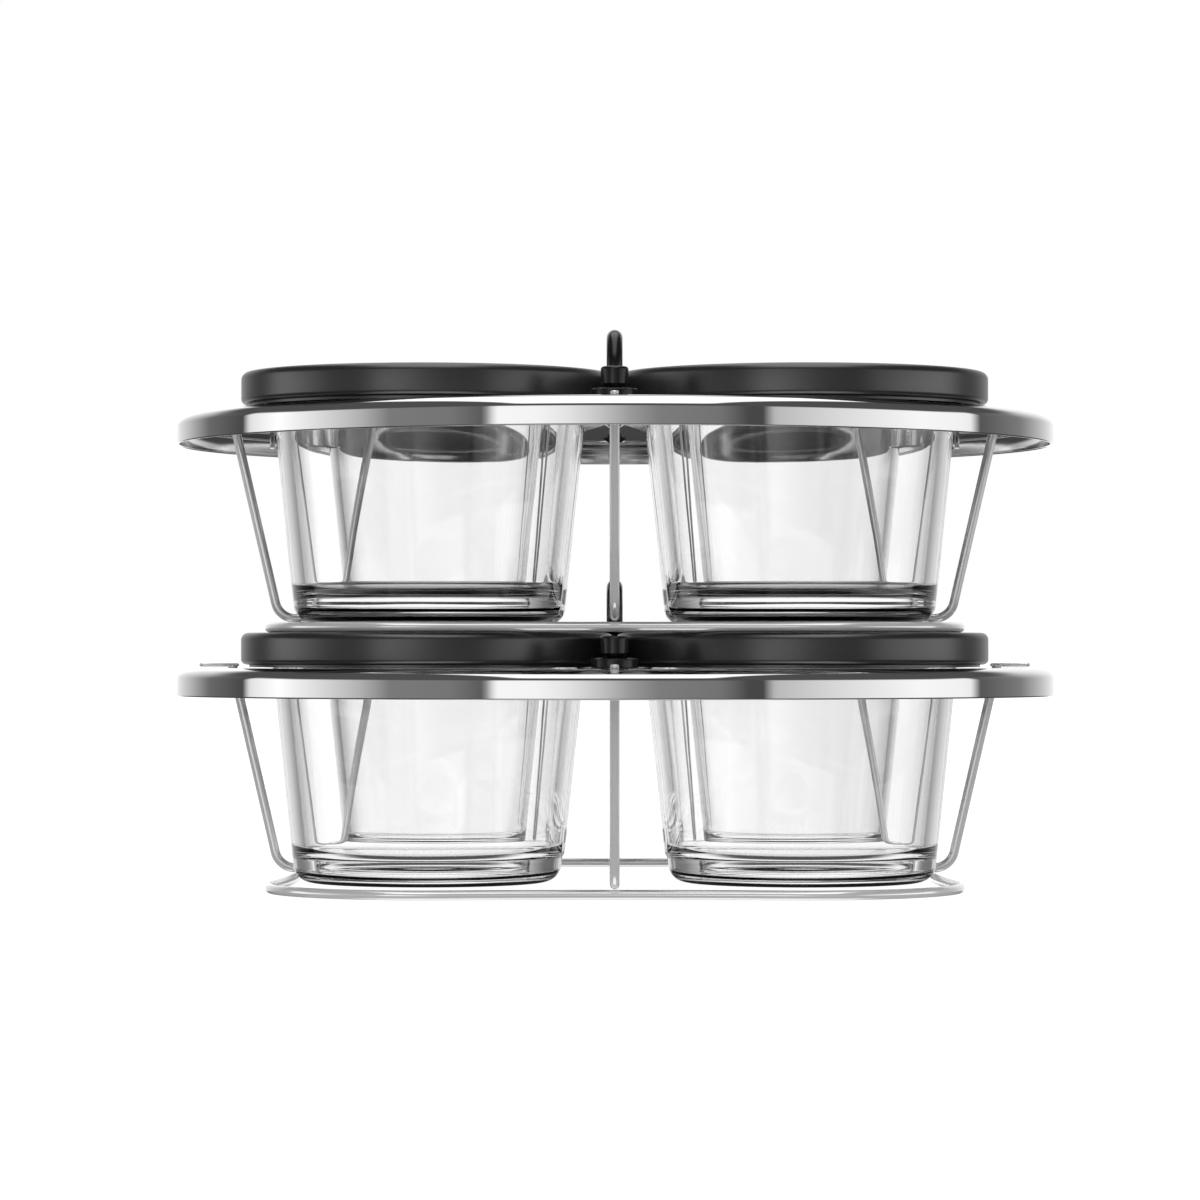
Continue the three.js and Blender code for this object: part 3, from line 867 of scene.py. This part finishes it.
def fill_ramp(ramp, stops):
    """Sets a color ramp's stops from (degrees, level) pairs over the full turn."""
    while len(ramp.elements) > 1:
        ramp.elements.remove(ramp.elements[-1])
    for i, (degrees, level) in enumerate(stops):
        position = (degrees + 180) / 360
        element = ramp.elements[0] if i == 0 else ramp.elements.new(position)
        element.position = position
        element.color = (level, level, level, 1)


def studio_world():
    """A white studio, with panels all round it for the steel and the glass to show."""
    world = bpy.data.worlds.new("studio")
    bpy.context.scene.world = world
    world.use_nodes = True
    tree = world.node_tree
    background = tree.nodes["Background"]
    direction = add_node(tree, "ShaderNodeTexCoord").outputs["Generated"]
    apart = add_node(tree, "ShaderNodeSeparateXYZ")
    tree.links.new(direction, apart.inputs[0])
    flip = add_node(tree, "ShaderNodeMath", operation="MULTIPLY")
    flip.inputs[1].default_value = -1.0
    tree.links.new(apart.outputs["Y"], flip.inputs[0])
    round_angle = add_node(tree, "ShaderNodeMath", operation="ARCTAN2")
    tree.links.new(apart.outputs["X"], round_angle.inputs[0])
    tree.links.new(flip.outputs[0], round_angle.inputs[1])
    fraction = add_node(tree, "ShaderNodeMapRange")
    fraction.inputs["From Min"].default_value = -math.pi
    fraction.inputs["From Max"].default_value = math.pi
    tree.links.new(round_angle.outputs[0], fraction.inputs["Value"])
    ramp = add_node(tree, "ShaderNodeValToRGB")
    tree.links.new(fraction.outputs["Result"], ramp.inputs["Fac"])
    fill_ramp(ramp.color_ramp, STUDIO_PANELS)
    height = apart.outputs["Z"]
    side = add_node(tree, "ShaderNodeMath", operation="ABSOLUTE")
    tree.links.new(apart.outputs["X"], side.inputs[0])
    overhead = product(
        tree,
        smooth_step(tree, height, *CEILING_EDGE, 0.0, 1.0),
        smooth_step(tree, side.outputs[0], *CEILING_SIDES, 1.0, 0.0),
    )
    ceiling = smooth_step(tree, overhead, 0.0, 1.0, DARK_ROOM, CEILING)
    behind = add_node(tree, "ShaderNodeMath", operation="MAXIMUM")
    behind.inputs[1].default_value = 0.0
    tree.links.new(apart.outputs["Y"], behind.inputs[0])
    lowered = add_node(tree, "ShaderNodeMath", operation="MULTIPLY_ADD")
    lowered.inputs[1].default_value = -REAR_PANEL_RISE
    tree.links.new(behind.outputs[0], lowered.inputs[0])
    tree.links.new(height, lowered.inputs[2])
    above = smooth_step(tree, lowered.outputs[0], *PANEL_TOP, 0.0, 1.0)
    upper = blend(tree, above, ramp.outputs["Color"], ceiling)
    ground = smooth_step(tree, height, *TABLE_EDGE, TABLE, DARK_FLOOR)
    panels = blend(tree, smooth_step(tree, height, *PANEL_FOOT, 1.0, 0.0), upper, ground)
    slant = add_node(tree, "ShaderNodeMath", operation="ABSOLUTE")
    tree.links.new(height, slant.inputs[0])
    slanting = smooth_step(tree, slant.outputs[0], *GLASS_PANELS, 0.0, 1.0)
    steep = smooth_step(tree, height, *GLASS_FLOOR_EDGE, 1.0, 0.0)
    across = blend(tree, slanting, ramp.outputs["Color"], None, 1.0)
    through = blend(tree, steep, across, None, GLASS_FLOOR)
    rays = add_node(tree, "ShaderNodeLightPath")
    bent = add_node(tree, "ShaderNodeMath", operation="MAXIMUM")
    tree.links.new(rays.outputs["Is Glossy Ray"], bent.inputs[0])
    tree.links.new(rays.outputs["Is Transmission Ray"], bent.inputs[1])
    shown = blend(tree, rays.outputs["Is Transmission Ray"], panels, through)
    seen = add_node(tree, "ShaderNodeMix", data_type="FLOAT")
    seen.inputs["A"].default_value = 1.0
    tree.links.new(bent.outputs[0], seen.inputs["Factor"])
    tree.links.new(shown, seen.inputs["B"])
    tree.links.new(seen.outputs["Result"], background.inputs["Color"])
    background.inputs["Strength"].default_value = 1.0


def floor():
    """A pale floor, wide enough to meet the horizon in white."""
    mesh = bpy.data.meshes.new("floor")
    reach = 30.0
    build = bmesh.new()
    corners = [(-reach, -reach), (reach, -reach), (reach, reach), (-reach, reach)]
    build.faces.new([build.verts.new((x, y, RING_LOW.z - 0.02 * MM)) for x, y in corners])
    build.to_mesh(mesh)
    build.free()
    material, _, shader = new_material("floor_white", Base_Color=(0.1, 0.1, 0.1, 1), Roughness=1.0)
    shader.inputs["Emission Color"].default_value = (1, 1, 1, 1)
    shader.inputs["Emission Strength"].default_value = 0.97
    mesh.materials.append(material)
    ground = linked_object("floor", mesh)
    ground.visible_glossy = False
    ground.visible_transmission = False


# The eye is just above the lower plate and ten plate radii away, so it sees the upper plate from below.
EYE_DISTANCE = PLATE_RADIUS * 10.292
EYE_HEIGHT = 79.95 * MM
EYE_TILT = math.radians(90 + 0.643)
EYE_TURN = math.radians(0.186)


def camera():
    lens = bpy.data.cameras.new("eye")
    lens.lens = 135
    lens.sensor_width = 36
    eye = linked_object("eye", lens)
    eye.location = (0, -EYE_DISTANCE, EYE_HEIGHT)
    eye.rotation_euler = (EYE_TILT, 0, EYE_TURN)
    bpy.context.scene.camera = eye


build_object()
studio_world()
floor()
camera()
bpy.context.scene.view_settings.view_transform = "Standard"
